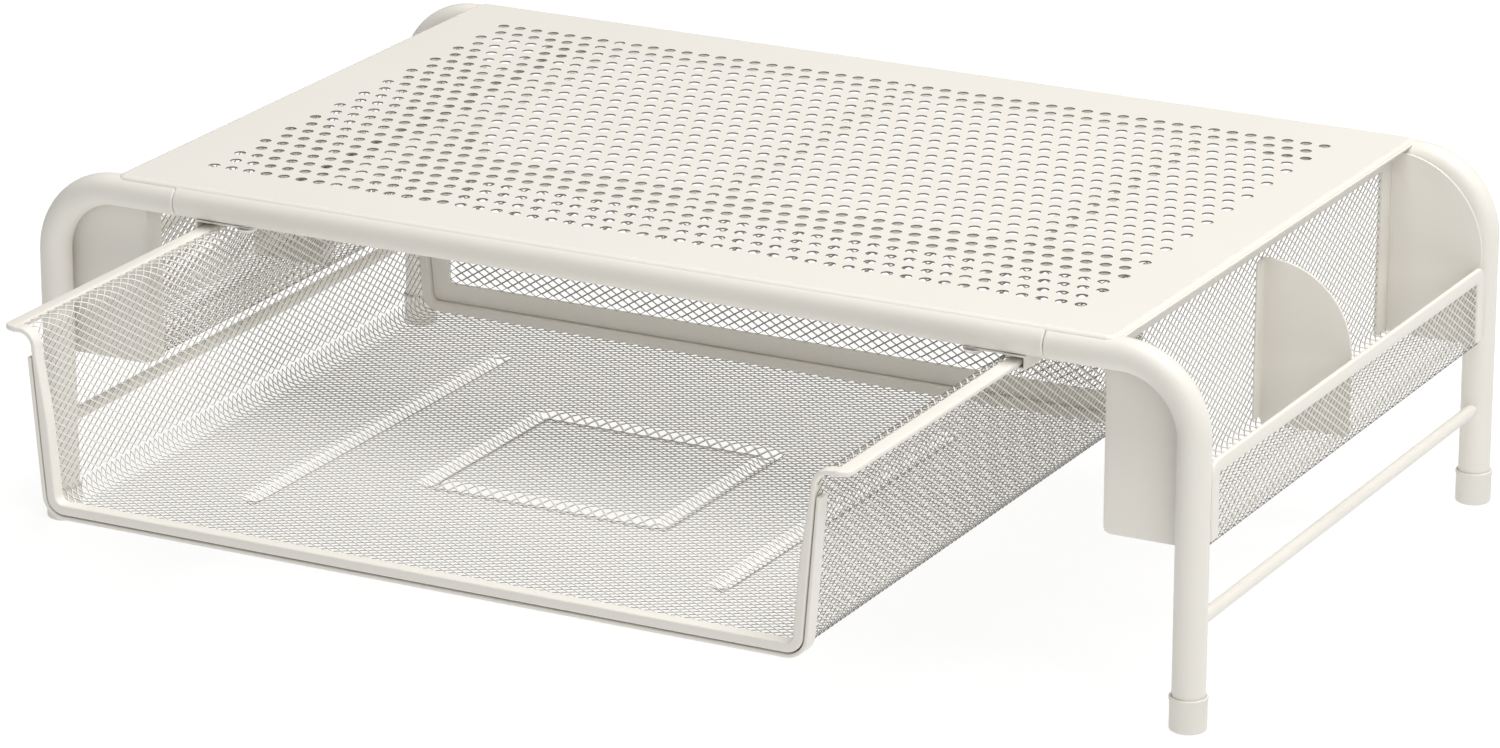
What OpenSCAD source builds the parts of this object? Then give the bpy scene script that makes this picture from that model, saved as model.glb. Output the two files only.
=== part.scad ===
// Monitor riser stand: a perforated steel top on four bent tube legs, with two
// mesh side pockets and an open-fronted mesh drawer that runs in channel slides.
// All sizes in millimetres. Z is up, the drawer opens towards -Y.

/* [Stand] */
// Distance between the leg centres, left to right
leg_span = 507; // [400:1:650]
// Distance between the leg centres, front to rear
leg_depth = 289.7; // [200:0.1:350]
// Height of the top face
stand_height = 152.5; // [110:0.5:220]
// Outside diameter of the leg tube
tube_d = 13.2; // [10:0.1:20]
// Wall of the leg tube
tube_wall = 1.4; // [0.8:0.1:2.5]
// Bend radius of the leg tube at its centre line
bend_r = 30; // [20:1:45]
// Length of the reduced end that plugs into the rolled rail
spigot_len = 42; // [15:1:60]

/* [Feet] */
// Outside diameter of the foot cap
cap_d = 15.3; // [13:0.1:24]
// Height of the foot cap
cap_h = 14; // [8:0.5:30]
// Thickness of the foot cap under the tube
cap_floor = 2.5; // [1:0.1:5]

/* [Cross rods] */
// Diameter of the lower cross rod
rod_d = 5.4; // [4:0.1:8]
// Height of the cross rod centre
rod_z = 41.4; // [20:0.1:60]

/* [Top panel] */
// Width of the top sheet
panel_w = 443.6; // [350:0.1:600]
// Depth of the top sheet
panel_d = 294.4; // [200:0.1:350]
// Thickness of the top sheet
panel_t = 0.6; // [0.5:0.1:1.5]
// Corner radius of the top sheet
panel_r = 4; // [1:0.5:12]
// Length of the rolled front and rear rails
rail_len = 386; // [300:1:500]
// Wall of the rolled rails
rail_wall = 0.8; // [0.6:0.1:1.2]
// Diameter of the perforation holes
hole_d = 4.9; // [3:0.1:6]
// Holes in a full row
hole_cols = 48; // [10:1:60]
// Number of full rows; the rows in between are staggered by half a pitch
hole_rows = 13; // [3:1:20]
// Pitch of the holes along a row
hole_pitch = 8.23; // [6:0.01:12]
// Spacing between a full row and the staggered row next to it
row_pitch = 9.83; // [6:0.01:14]
// Distance of the outer stiffener bars from the middle
stiffener_x = 139; // [60:1:180]
// Width of the stiffener bars
stiffener_w = 8; // [4:0.5:20]
// Height of the stiffener bars
stiffener_h = 5; // [2:0.5:8]

/* [Side pockets] */
// Inboard face of the inner mesh wall, from the middle of the stand
pocket_in = 214.2; // [190:0.1:240]
// Outboard face of the outer mesh wall, from the middle of the stand
pocket_out = 257.3; // [240:0.1:280]
// Underside of the pocket floor
pocket_z = 70.2; // [50:0.1:100]
// Top of the outer rim
rim_top = 105.4; // [80:0.1:130]
// Height of the top rail of the rim
rim_h = 6; // [3:0.5:12]
// Width of the upright strips of the rim
rim_w = 6.8; // [3:0.1:12]
// Thickness of the rim
rim_t = 2.2; // [1:0.1:4]
// Width of the strips around the inner wall
frame_w = 9.8; // [4:0.1:16]
// Thickness of the strips around the inner wall
frame_t = 1.8; // [1:0.1:3]
// Thickness of the expanded metal sheet
mesh_t = 0.6; // [0.5:0.1:1.5]
// Thickness of the solid end plates and dividers
plate_t = 1; // [0.6:0.1:2]
// Radius of the large round corner of the end plates
plate_r = 39.8; // [20:0.1:45]
// Height of the end plates above the floor
plate_top = 148.6; // [120:0.1:151]
// Outboard edge of the end plates, from the middle of the stand
plate_out = 256.2; // [240:0.1:260]
// Position of the divider along the pocket
divider_y = 7; // [-60:1:60]
// Height of the top of the divider
divider_top = 139.6; // [110:0.1:150]
// Radius of the curved top of the divider
divider_r = 35; // [20:0.5:45]
// Outboard edge of the divider, from the middle of the stand
divider_out = 253.6; // [240:0.1:256]

/* [Drawer] */
// How far the drawer stands open in the drawn position
drawer_open = 143; // [0:1:200]
// Length of the drawer, front to rear
drawer_len = 291; // [200:0.5:320]
// Outside half width of the drawer at its floor
drawer_half = 165.15; // [120:0.05:180]
// Outward slope of the drawer sides
drawer_slope = 4.87; // [0:0.01:10]
// Underside of the drawer front rim
drawer_z = 61; // [40:0.5:80]
// Radius of the bottom corners
drawer_r = 9.5; // [6:0.5:20]
// Outer edge of the side flanges, from the middle of the drawer
flange_x = 182; // [150:0.1:200]
// Underside of the side flanges
flange_z = 134.4; // [110:0.1:145]
// Thickness of the side flanges
flange_t = 2.2; // [1:0.1:4]
// Width of the side flanges
flange_w = 6.4; // [3:0.1:14]
// Thickness of the outer front rim
outer_rim_t = 1.6; // [1:0.1:3]
// Depth of the outer front rim
outer_rim_w = 7; // [4:0.5:15]
// Height of the upper ends of the outer front rim
outer_rim_top = 125; // [100:1:130]
// Thickness of the inner front rim
inner_rim_t = 4; // [1:0.1:5]
// Depth of the inner front rim
inner_rim_w = 5.8; // [3:0.1:12]
// Width of the strips around the rear panel
rear_frame_w = 8.4; // [4:0.1:16]
// Top edge of the rear panel
rear_top = 132.6; // [100:0.1:134]

/* [Slides] */
// Outboard face of the slide channels, from the middle of the stand
slide_x = 184.4; // [160:0.1:205]
// Width of the slide channels
slide_w = 7; // [4:0.1:12]
// Sheet thickness of the slide channels
slide_t = 0.8; // [0.6:0.1:1.5]
// Clearance under the drawer flange
slide_gap = 0.3; // [0.2:0.1:1]
// Distance of the rail screws from the middle
screw_x = 161.5; // [100:0.5:180]

/* [Hidden] */
$fn = 64;
half_span = leg_span / 2;
half_depth = leg_depth / 2;
tube_r = tube_d / 2;
rail_z = stand_height - 0.3 - tube_r;
tube_z = stand_height - panel_t - tube_r;
panel_under = stand_height - panel_t;
plate_y = half_depth - tube_r;
pocket_len = plate_y - plate_t;
front_y = -half_depth - 2.45 - drawer_open;
rear_y = front_y + drawer_len;
y_mid = (front_y + half_depth + cap_d / 2) / 2;
rail_bottom = rail_z - tube_r;
slide_low = flange_z - slide_gap - slide_t;
slide_end = half_depth + 2.15;
tab_w = 10.4;
screw_r = 2;
mesh_in = outer_rim_t + mesh_t;
mesh_edge = slide_x - slide_w - 0.6;
flare_r = 3;
flare_z = flange_z - mesh_in - flare_r;
flare_x = drawer_half + (flare_z - drawer_z) * tan(drawer_slope) + flare_r / cos(drawer_slope);
corner_z = drawer_z + drawer_r;
corner_x = drawer_half + drawer_r * tan(drawer_slope) - drawer_r / cos(drawer_slope);
steel = "ivory";
mesh_colour = "linen";
plastic = "gainsboro";
eps = 0.01;

// ---------- helpers ----------

// Moves a part from the middle of the stand to the middle of the whole object.
module placed() {
    translate([0, -y_mid, 0])
    children();
}

// Stands a section drawn as (x, z) up and runs it from y0 to y1.
module run_y(y0, y1) {
    translate([0, y1, 0])
    rotate([90, 0, 0])
    linear_extrude(height = y1 - y0)
    children();
}

// Stands a section drawn as (y, z) up and runs it along X, centred.
module run_x(len) {
    translate([-len / 2, 0, 0])
    rotate([90, 0, 90])
    linear_extrude(height = len)
    children();
}

// A rectangle from corner a to corner b.
module box2(a, b) {
    translate(a)
    square([b[0] - a[0], b[1] - a[1]]);
}

// A block from corner a to corner b.
module box3(a, b) {
    translate(a)
    cube([b[0] - a[0], b[1] - a[1], b[2] - a[2]]);
}

// ---------- stand ----------

module hole_row(count, y) {
    for (i = [0 : count - 1])
        translate([(i - (count - 1) / 2) * hole_pitch, y])
        circle(d = hole_d, $fn = 24);
}

module top_sheet() {
    difference() {
        union() {
            square([panel_w - 2 * panel_r, panel_d], center = true);
            square([panel_w, panel_d - 2 * panel_r], center = true);
            for (sx = [-1, 1], sy = [-1, 1])
                translate([sx * (panel_w / 2 - panel_r), sy * (panel_d / 2 - panel_r)])
                circle(r = panel_r);
        }
        for (j = [0 : hole_rows - 1])
            hole_row(hole_cols, (2 * j - hole_rows + 1) * row_pitch);
        for (j = [0 : hole_rows - 2])
            hole_row(hole_cols - 1, (2 * j - hole_rows + 2) * row_pitch);
    }
}

// The edge of the panel rolled down into a round rail, with holes for the screws.
module rolled_rail(side) {
    difference() {
        run_x(rail_len)
        difference() {
            union() {
                translate([side * half_depth, rail_z])
                circle(r = tube_r);
                box2([side > 0 ? half_depth : -panel_d / 2, rail_z + tube_r - 1],
                     [side > 0 ? panel_d / 2 : -half_depth, panel_under]);
            }
            translate([side * half_depth, rail_z])
            circle(r = tube_r - rail_wall);
        }
        for (sx = [-1, 1])
            translate([sx * screw_x, side * half_depth, rail_z - tube_r - 1])
            cylinder(r = screw_r + 0.2, h = 3);
    }
}

module top_panel() {
    color(steel)
    placed()
    union() {
        translate([0, 0, panel_under])
        linear_extrude(height = panel_t)
        top_sheet();
        rolled_rail(-1);
        rolled_rail(1);
    }
}

module stiffener(x) {
    color(steel)
    placed()
    box3([x - stiffener_w / 2, -plate_y + 1.2, panel_under - stiffener_h],
         [x + stiffener_w / 2, plate_y - 1.2, panel_under]);
}

module stiffener_left() {
    stiffener(-stiffener_x);
}

module stiffener_center() {
    stiffener(0);
}

module stiffener_right() {
    stiffener(stiffener_x);
}

// One bent tube of radius r: upright, quarter bend, then the run to x = x_end.
module bent_tube(r, z0, x_end) {
    translate([half_span, 0, z0])
    cylinder(r = r, h = tube_z - bend_r - z0);
    translate([half_span - bend_r, 0, tube_z - bend_r])
    rotate([90, 0, 0])
    rotate_extrude(angle = 90)
    translate([bend_r, 0])
    circle(r = r);
    translate([x_end, 0, tube_z])
    rotate([0, 90, 0])
    cylinder(r = r, h = half_span - bend_r - x_end);
}

// A leg seen as the front right one, standing on y = 0.
module leg_body() {
    spigot_r = tube_r - 1.3;
    difference() {
        union() {
            bent_tube(tube_r, cap_floor, rail_len / 2);
            translate([rail_len / 2 - spigot_len, 0, tube_z])
            rotate([0, 90, 0])
            cylinder(r = spigot_r, h = spigot_len + 2);
        }
        bent_tube(spigot_r - tube_wall, cap_floor - 1, rail_len / 2 - spigot_len - 1);
        translate([screw_x, 0, tube_z - tube_r])
        cylinder(r = screw_r + 0.2, h = 4);
    }
}

module leg(sx, sy) {
    color(steel)
    placed()
    translate([0, sy * half_depth, 0])
    mirror([sx < 0 ? 1 : 0, 0, 0])
    leg_body();
}

module leg_front_left() {
    leg(-1, -1);
}

module leg_front_right() {
    leg(1, -1);
}

module leg_rear_left() {
    leg(-1, 1);
}

module leg_rear_right() {
    leg(1, 1);
}

// A plastic cup pushed over the end of the tube, with a lip at its mouth.
module foot(sx, sy) {
    cap_r = cap_d / 2;
    edge = 1.2;
    color(plastic)
    placed()
    translate([sx * half_span, sy * half_depth, 0])
    rotate_extrude()
    difference() {
        union() {
            box2([0, 0], [cap_r - edge, cap_h]);
            box2([0, edge], [cap_r - 0.15, cap_h]);
            box2([0, cap_h - 1.6], [cap_r, cap_h - 0.4]);
            intersection() {
                translate([cap_r - 0.15 - edge, edge])
                circle(r = edge);
                box2([0, 0], [cap_r, cap_h]);
            }
        }
        box2([-1, cap_floor], [tube_r + 0.03, cap_h + 1]);
    }
}

module foot_front_left() {
    foot(-1, -1);
}

module foot_front_right() {
    foot(1, -1);
}

module foot_rear_left() {
    foot(-1, 1);
}

module foot_rear_right() {
    foot(1, 1);
}

// The rod is coped to the legs at both ends.
module cross_rod(sx) {
    color(steel)
    placed()
    difference() {
        translate([sx * half_span, -half_depth, rod_z])
        rotate([-90, 0, 0])
        cylinder(d = rod_d, h = leg_depth);
        for (sy = [-1, 1])
            translate([sx * half_span, sy * half_depth, rod_z - 20])
            cylinder(r = tube_r, h = 40);
    }
}

module cross_rod_left() {
    cross_rod(-1);
}

module cross_rod_right() {
    cross_rod(1);
}

// ---------- side pockets, drawn on the right ----------

// Fills the section of the pocket, inset by a from its outer faces.
module pocket_fill(a, top) {
    r = 3.6 - a;
    x0 = pocket_in + a;
    x1 = pocket_out - a;
    z0 = pocket_z + a;
    box2([x0, z0 + r], [x1, top]);
    box2([x0 + r, z0], [x1 - r, top]);
    for (x = [x0 + r, x1 - r])
        translate([x, z0 + r])
        circle(r = r);
}

module pocket_mesh() {
    wall_top = panel_under - frame_w;
    difference() {
        run_y(-pocket_len, pocket_len)
        difference() {
            pocket_fill(0, wall_top);
            pocket_fill(mesh_t, wall_top + 1);
            box2([pocket_out - 5, rim_top - rim_h], [pocket_out + 1, wall_top + 1]);
        }
        for (s = [-1, 1]) {
            edge_in = pocket_len - frame_w;
            box3([pocket_in - 1, s > 0 ? edge_in : -pocket_len - 1, pocket_z + 3.6],
                 [pocket_in + 2, s > 0 ? pocket_len + 1 : -edge_in, wall_top + 1]);
            edge_out = pocket_len - rim_w;
            box3([pocket_out - 2, s > 0 ? edge_out : -pocket_len - 1, pocket_z + 3.6],
                 [pocket_out + 1, s > 0 ? pocket_len + 1 : -edge_out, rim_top]);
        }
    }
}

module pocket_wall_frame() {
    x0 = pocket_in + mesh_t / 2 - frame_t / 2;
    z0 = pocket_z + 3.6;
    z1 = panel_under - frame_w;
    difference() {
        box3([x0, -pocket_len, z0], [x0 + frame_t, pocket_len, panel_under]);
        box3([x0 - 1, -pocket_len + frame_w, z0 - 1], [x0 + frame_t + 1, pocket_len - frame_w, z1]);
    }
}

// Rim of the outer wall: a rail with two uprights and rounded outer corners.
module pocket_rim() {
    x0 = pocket_out - mesh_t / 2 - rim_t / 2;
    z0 = pocket_z + 3.6;
    r = 6;
    translate([x0, 0, 0])
    rotate([90, 0, 90])
    linear_extrude(height = rim_t)
    difference() {
        union() {
            box2([-pocket_len, z0], [pocket_len, rim_top - r]);
            box2([-pocket_len + r, z0], [pocket_len - r, rim_top]);
            for (s = [-1, 1])
                translate([s * (pocket_len - r), rim_top - r])
                circle(r = r);
        }
        box2([-pocket_len + rim_w, z0 - 1], [pocket_len - rim_w, rim_top - rim_h]);
    }
}

// End plate closing the pocket between the two mesh walls.
module pocket_plate() {
    x0 = pocket_in - 0.6;
    z0 = pocket_z;
    r = 3;
    cx = plate_out - plate_r;
    cz = plate_top - plate_r;
    run_y(pocket_len, plate_y)
    union() {
        box2([x0 + r, z0], [plate_out - r, cz]);
        box2([x0, z0 + r], [plate_out, cz]);
        for (x = [x0 + r, plate_out - r])
            translate([x, z0 + r])
            circle(r = r);
        box2([x0, cz - eps], [cx, plate_top]);
        translate([cx, cz])
        intersection() {
            circle(r = plate_r);
            box2([-eps, -eps], [plate_r + 1, plate_r + 1]);
        }
    }
}

// Quarter-round divider with a flange folded along the inner mesh wall.
module pocket_divider() {
    x0 = pocket_in + mesh_t;
    z0 = pocket_z + mesh_t;
    cx = divider_out - divider_r;
    cz = divider_top - divider_r;
    run_y(divider_y - plate_t, divider_y)
    union() {
        box2([x0 + 3, z0], [divider_out, cz]);
        box2([x0, z0 + 3], [divider_out, cz]);
        translate([x0 + 3, z0 + 3])
        circle(r = 3);
        box2([x0, cz - eps], [cx, divider_top]);
        translate([cx, cz])
        intersection() {
            circle(r = divider_r);
            box2([-eps, -eps], [divider_r + 1, divider_r + 1]);
        }
    }
    translate([x0, 0, 0])
    rotate([90, 0, 90])
    linear_extrude(height = plate_t)
    union() {
        box2([divider_y - 7.6, z0 + 3], [divider_y - plate_t / 2, divider_top - 3]);
        box2([divider_y - 4.6, divider_top - 4], [divider_y - plate_t / 2, divider_top]);
        translate([divider_y - 4.6, divider_top - 3])
        circle(r = 3);
    }
}

module pocket_side(sx, colour) {
    color(colour)
    placed()
    mirror([sx < 0 ? 1 : 0, 0, 0])
    children();
}

module pocket_left_mesh() {
    pocket_side(-1, mesh_colour)
    pocket_mesh();
}

module pocket_left_wall_frame() {
    pocket_side(-1, steel)
    pocket_wall_frame();
}

module pocket_left_rim() {
    pocket_side(-1, steel)
    pocket_rim();
}

module pocket_left_front_plate() {
    pocket_side(-1, steel)
    mirror([0, 1, 0])
    pocket_plate();
}

module pocket_left_rear_plate() {
    pocket_side(-1, steel)
    pocket_plate();
}

module pocket_left_divider() {
    pocket_side(-1, steel)
    pocket_divider();
}

module pocket_right_mesh() {
    pocket_side(1, mesh_colour)
    pocket_mesh();
}

module pocket_right_wall_frame() {
    pocket_side(1, steel)
    pocket_wall_frame();
}

module pocket_right_rim() {
    pocket_side(1, steel)
    pocket_rim();
}

module pocket_right_front_plate() {
    pocket_side(1, steel)
    mirror([0, 1, 0])
    pocket_plate();
}

module pocket_right_rear_plate() {
    pocket_side(1, steel)
    pocket_plate();
}

module pocket_right_divider() {
    pocket_side(1, steel)
    pocket_divider();
}

// ---------- slides and screws ----------

// A channel open towards the drawer, closed at its rear end by a stop, with a
// tab at each end that is screwed up against the rolled rail.
module slide(sx) {
    tab_x = screw_x - 5;
    inner_x = slide_x - slide_w;
    color(steel)
    placed()
    mirror([sx < 0 ? 1 : 0, 0, 0])
    difference() {
        union() {
            box3([inner_x, -slide_end, slide_low], [slide_x, slide_end, rail_bottom]);
            for (sy = [-1, 1])
                box3([tab_x, sy * (half_depth - 2.6) - tab_w / 2, rail_bottom - slide_t],
                     [inner_x + 1, sy * (half_depth - 2.6) + tab_w / 2, rail_bottom]);
        }
        box3([inner_x - 1, -slide_end - 1, slide_low + slide_t],
             [slide_x - slide_t, slide_end - slide_t, rail_bottom - slide_t]);
        for (sy = [-1, 1])
            translate([screw_x, sy * half_depth, rail_bottom - 2])
            cylinder(r = screw_r + 0.2, h = 3);
    }
}

module slide_left() {
    slide(-1);
}

module slide_right() {
    slide(1);
}

// Round-head screws that hold the slides and the leg spigots to the rails.
module rail_screws() {
    color("silver")
    placed()
    for (sx = [-1, 1], sy = [-1, 1])
        translate([sx * screw_x, sy * half_depth, rail_bottom - slide_t])
        rotate_extrude()
        polygon([[0, -2.3], [2.2, -2.05], [3.4, -1.4], [4.15, -0.4], [4.15, 0],
                 [screw_r, 0], [screw_r, 4], [screw_r - 0.6, 4.8], [0, 4.8]]);
}

// ---------- drawer ----------

// Outside of the drawer side at height z.
function side_x(z) = drawer_half + (z - drawer_z) * tan(drawer_slope);

// Points on an arc about c, in 8 steps.
function arc(c, r, from, to) =
    [for (i = [0 : 8]) c + r * [cos(from + (to - from) * i / 8), sin(from + (to - from) * i / 8)]];

// Bottom corner of the tray section, a inside its outer face.
function corner_line(a) = arc([corner_x, corner_z], drawer_r - a, -90, -drawer_slope);

// Right half of the section up the side to height top.
function side_line(a, top) = concat(corner_line(a), [[side_x(top) - a / cos(drawer_slope), top]]);

// Right half of the section up the side, round the flare and out to x = tip.
// The flare may be another distance b inside the outer face.
function flare_line(a, b, tip) =
    concat(corner_line(a),
           arc([flare_x, flare_z], flare_r + b, 180 - drawer_slope, 90),
           [[tip, flare_z + flare_r + b]]);

function mirrored(p) = [for (i = [len(p) - 1 : -1 : 0]) [-p[i][0], p[i][1]]];
function reversed(p) = [for (i = [len(p) - 1 : -1 : 0]) p[i]];

// The whole section line from its left end to its right end.
function across(half) = concat(mirrored(half), half);

// The skin between two section lines.
module tray_band(outside, inside) {
    polygon(concat(across(outside), reversed(across(inside))));
}

// Expanded metal tray: floor, both sides and the flares up to the flanges.
module drawer_mesh() {
    color(mesh_colour)
    placed()
    run_y(front_y + 1, rear_y)
    tray_band(flare_line(outer_rim_t, outer_rim_t, mesh_edge),
              flare_line(mesh_in, mesh_in, mesh_edge));
}

// Solid strip on top of the flare that rides in the slide.
module drawer_flange(sx) {
    x0 = flange_x - flange_w;
    color(steel)
    placed()
    mirror([sx < 0 ? 1 : 0, 0, 0])
    box3([x0, front_y + inner_rim_w, flange_z], [flange_x, rear_y, flange_z + flange_t]);
}

module drawer_flange_left() {
    drawer_flange(-1);
}

module drawer_flange_right() {
    drawer_flange(1);
}

module drawer_front_inner_rim() {
    r = 3.4;
    color(steel)
    placed()
    difference() {
        run_y(front_y, front_y + inner_rim_w)
        tray_band(flare_line(mesh_in, mesh_in, flange_x),
                  flare_line(mesh_in + inner_rim_t, mesh_in + flange_t, flange_x));
        for (s = [-1, 1])
            translate([s * (flange_x - r), front_y + r, flange_z - 1])
            difference() {
                box3([s > 0 ? 0 : -r - 1, -r - 1, 0], [s > 0 ? r + 1 : 0, 0, flange_t + 2]);
                translate([0, 0, -1])
                cylinder(r = r, h = flange_t + 4);
            }
    }
}

module drawer_front_outer_rim() {
    color(steel)
    placed()
    run_y(front_y, front_y + outer_rim_w)
    tray_band(side_line(0, outer_rim_top), side_line(outer_rim_t, outer_rim_top));
}

module drawer_rear_rim() {
    color(steel)
    placed()
    run_y(rear_y - 6, rear_y)
    tray_band(side_line(mesh_in, rear_top - 4),
              side_line(mesh_in + inner_rim_t, rear_top - 4));
}

module drawer_rear_frame() {
    y1 = rear_y - 1.6;
    color(steel)
    placed()
    run_y(y1 - 1.8, y1)
    difference() {
        polygon(across(side_line(mesh_in + inner_rim_t, rear_top)));
        rear_opening();
    }
}

// The opening of the rear frame.
module rear_opening() {
    z0 = drawer_z + mesh_in + inner_rim_t + rear_frame_w;
    z1 = rear_top - rear_frame_w;
    x = side_x(z0) - mesh_in - inner_rim_t - rear_frame_w;
    box2([-x, z0], [x, z1]);
}

module drawer_rear_mesh() {
    y1 = rear_y - 2.2;
    color(mesh_colour)
    placed()
    run_y(y1 - mesh_t, y1)
    rear_opening();
}

// ---------- drawing ----------

top_panel();
stiffener_left();
stiffener_center();
stiffener_right();
leg_front_left();
leg_front_right();
leg_rear_left();
leg_rear_right();
foot_front_left();
foot_front_right();
foot_rear_left();
foot_rear_right();
cross_rod_left();
cross_rod_right();
pocket_left_mesh();
pocket_left_wall_frame();
pocket_left_rim();
pocket_left_front_plate();
pocket_left_rear_plate();
pocket_left_divider();
pocket_right_mesh();
pocket_right_wall_frame();
pocket_right_rim();
pocket_right_front_plate();
pocket_right_rear_plate();
pocket_right_divider();
slide_left();
slide_right();
rail_screws();
drawer_mesh();
drawer_flange_left();
drawer_flange_right();
drawer_front_inner_rim();
drawer_front_outer_rim();
drawer_rear_rim();
drawer_rear_frame();
drawer_rear_mesh();
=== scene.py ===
import math

import bmesh
import bpy
import numpy as np
from bpy.props import (
    FloatProperty,
    FloatVectorProperty,
    IntProperty,
    PointerProperty,
)
from mathutils import Matrix, Vector


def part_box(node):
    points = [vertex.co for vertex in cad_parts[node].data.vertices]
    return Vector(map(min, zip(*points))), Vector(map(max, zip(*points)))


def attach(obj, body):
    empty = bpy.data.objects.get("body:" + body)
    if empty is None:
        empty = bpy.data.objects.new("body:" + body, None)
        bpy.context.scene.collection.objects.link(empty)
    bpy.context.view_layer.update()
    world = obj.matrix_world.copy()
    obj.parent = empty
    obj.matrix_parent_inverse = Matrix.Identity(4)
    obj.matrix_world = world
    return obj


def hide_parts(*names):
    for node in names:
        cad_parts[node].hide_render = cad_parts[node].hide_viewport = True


bl_info = {
    "name": "Monitor riser stand",
    "version": (1, 0, 0),
    "blender": (4, 5, 0),
    "location": "View3D > Sidebar > Riser",
    "description": "Builds a powder-coated monitor riser with mesh pockets and a mesh drawer",
    "category": "Object",
}

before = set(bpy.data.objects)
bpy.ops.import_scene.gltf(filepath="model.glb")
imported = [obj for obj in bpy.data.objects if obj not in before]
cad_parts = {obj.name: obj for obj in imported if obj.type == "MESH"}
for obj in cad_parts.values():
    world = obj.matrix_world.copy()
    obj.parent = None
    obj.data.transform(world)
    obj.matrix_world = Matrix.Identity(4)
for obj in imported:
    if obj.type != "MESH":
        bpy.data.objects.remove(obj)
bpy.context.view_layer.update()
MM = 0.001


def node_box(node):
    """Lowest and highest corner of a node of the frame, in millimetres."""
    low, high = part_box(node)
    return np.array(low) / MM, np.array(high) / MM


FOOT_FRONT = sum(node_box("foot_front_right")) / 2
FOOT_REAR = sum(node_box("foot_rear_right")) / 2
LEG_X = FOOT_FRONT[0]
LEG_Y = (FOOT_REAR[1] - FOOT_FRONT[1]) / 2
MIDDLE_Y = (FOOT_REAR[1] + FOOT_FRONT[1]) / 2
LEG_R = (node_box("leg_front_right")[1] - node_box("leg_front_right")[0])[1] / 2
TOP_Z = node_box("top_panel")[1][2]
DRAWER_FRONT = node_box("drawer_front_inner_rim")[0][1] - MIDDLE_Y
DRAWER_REAR = node_box("drawer_mesh")[1][1] - MIDDLE_Y


# ---------- sizes and colours ----------


def size(name, text, value, low=0.0, high=1000.0):
    """A length in millimetres."""
    return FloatProperty(name=name, description=text, default=value, min=low, max=high)


def angle(name, text, degrees):
    """An angle, kept in radians."""
    turn = math.radians(degrees)
    return FloatProperty(
        name=name, description=text, default=turn, subtype="ANGLE", unit="ROTATION"
    )


def power(name, text, watts):
    """The power of a lamp."""
    return FloatProperty(name=name, description=text, default=watts, min=0.0, unit="POWER")


def paint(name, text, value):
    """A linear colour."""
    return FloatVectorProperty(
        name=name, description=text, default=value, subtype="COLOR", min=0.0, max=1.0
    )


class TopSizes(bpy.types.PropertyGroup):
    sheet: size("Sheet", "Thickness of the top sheet, mm", 0.6)
    corner: size("Corner", "Corner radius of the top sheet, mm", 4.0)
    columns: IntProperty(name="Columns", description="Holes in a full row", default=48)
    rows: IntProperty(name="Rows", description="Number of full rows of holes", default=13)
    pitch: size("Pitch", "Distance between holes along a row, mm", 8.23)
    row_pitch: size("Row pitch", "Distance between a row and the staggered next one, mm", 9.83)
    hole: size("Hole", "Diameter of a hole, mm", 4.9)
    rail: size("Rail", "Length of the rolled rails, mm", 386.0)
    wall: size("Rail wall", "Wall of the rolled rails, mm", 0.8)
    margin: size("Edge margin", "How far the rounded edge reaches in, mm", 2.3)
    drop: size("Edge drop", "How far the rounded edge hangs below the top face, mm", 2.1)


class LegSizes(bpy.types.PropertyGroup):
    bend: size("Bend", "Bend radius of the tube's centre line, mm", 30.0)
    spigot: size("Spigot", "Length of the reduced tube end, mm", 42.0)
    step: size("Spigot step", "How much smaller the radius of the reduced end is, mm", 1.3)
    groove: size("Groove", "Depth of the groove at the seam, mm", 0.55)
    foot_lip: size("Foot lip", "How far the lip of a foot cap stands out, mm", 0.3)


class MeshSizes(bpy.types.PropertyGroup):
    long_way: size("Long way", "Long way of a diamond, mm", 5.55)
    short_way: size("Short way", "Short way of a diamond, mm", 3.45)
    strand: size("Strand", "Width of a strand, mm", 0.5)
    rear_strand: size("Rear strand", "Width of a strand in the rear panel, mm", 0.62)
    thick: size("Thickness", "Thickness of the expanded sheet, mm", 0.25)


class GrooveSizes(bpy.types.PropertyGroup):
    depth: size("Depth", "Depth of the pressed floor grooves, mm", 3.2)
    half: size("Half width", "Half the width of the floor grooves, mm", 5.0)
    side: size("Side place", "Distance of the straight grooves from the middle, mm", 103.0)
    start: size("Start", "Front of the straight grooves, from the drawer's front, mm", 52.3)
    end: size("End", "Rear of the straight grooves, from the drawer's front, mm", 244.3)
    box_x: size("Box half width", "Half width of the rectangular groove, mm", 52.0)
    box_y: size("Box half depth", "Half depth of the rectangular groove, mm", 46.0)
    box_middle: size("Box place", "Middle of the rectangle, from the drawer's front, mm", 146.3)


class PocketSizes(bpy.types.PropertyGroup):
    bend: size("Bend", "Radius of the mesh at the bottom of the walls, mm", 3.3)
    strip: size("Strips", "Width of the strips round the inner wall, mm", 9.8)
    post: size("Posts", "Width of the upright ends of the rim, mm", 6.8)
    rail: size("Rim rail", "Height of the top rail of the rim, mm", 6.0)
    corner: size("Rim corner", "Outer radius of the rim's corners, mm", 6.0)
    plate_round: size("Plate round", "Large corner radius of the end plates, mm", 39.8)
    blade_round: size("Divider round", "Radius of the divider's top, mm", 35.0)
    blade: size("Divider", "Thickness of the divider, mm", 1.0)


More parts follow.
